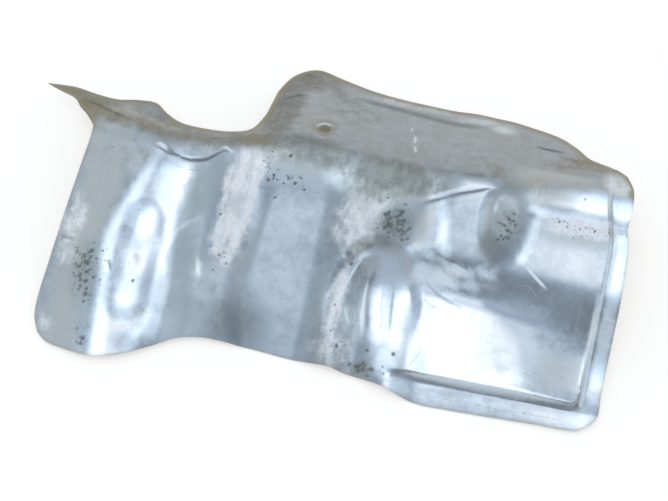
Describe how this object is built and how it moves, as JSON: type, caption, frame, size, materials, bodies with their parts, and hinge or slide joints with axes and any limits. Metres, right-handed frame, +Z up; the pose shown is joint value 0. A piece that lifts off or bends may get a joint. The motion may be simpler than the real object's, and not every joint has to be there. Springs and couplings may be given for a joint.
{
  "type": "exhaust manifold heat shield",
  "caption": "Pressed aluminium heat shield for a car's exhaust manifold: a bent sheet with domed knuckles, a joggled pan, drawn ribs, a bent ear and a bolt hole.",
  "frame": {"origin": "middle of the shield's outer box in plan, on the surface that it rests on", "axes": "+X along the shield from the bent ear to the pan, +Y from the front edge to the back edge, +Z up, out of the hollow side"},
  "size_m": [0.4342, 0.258, 0.0574],
  "materials": {
    "aluminium_sheet": "dull weathered mill finish with worn ridges, grime along the bend and small dark pits"
  },
  "bodies": {
    "root": {"heat_shield": "aluminium_sheet"}
  },
  "joints": []
}
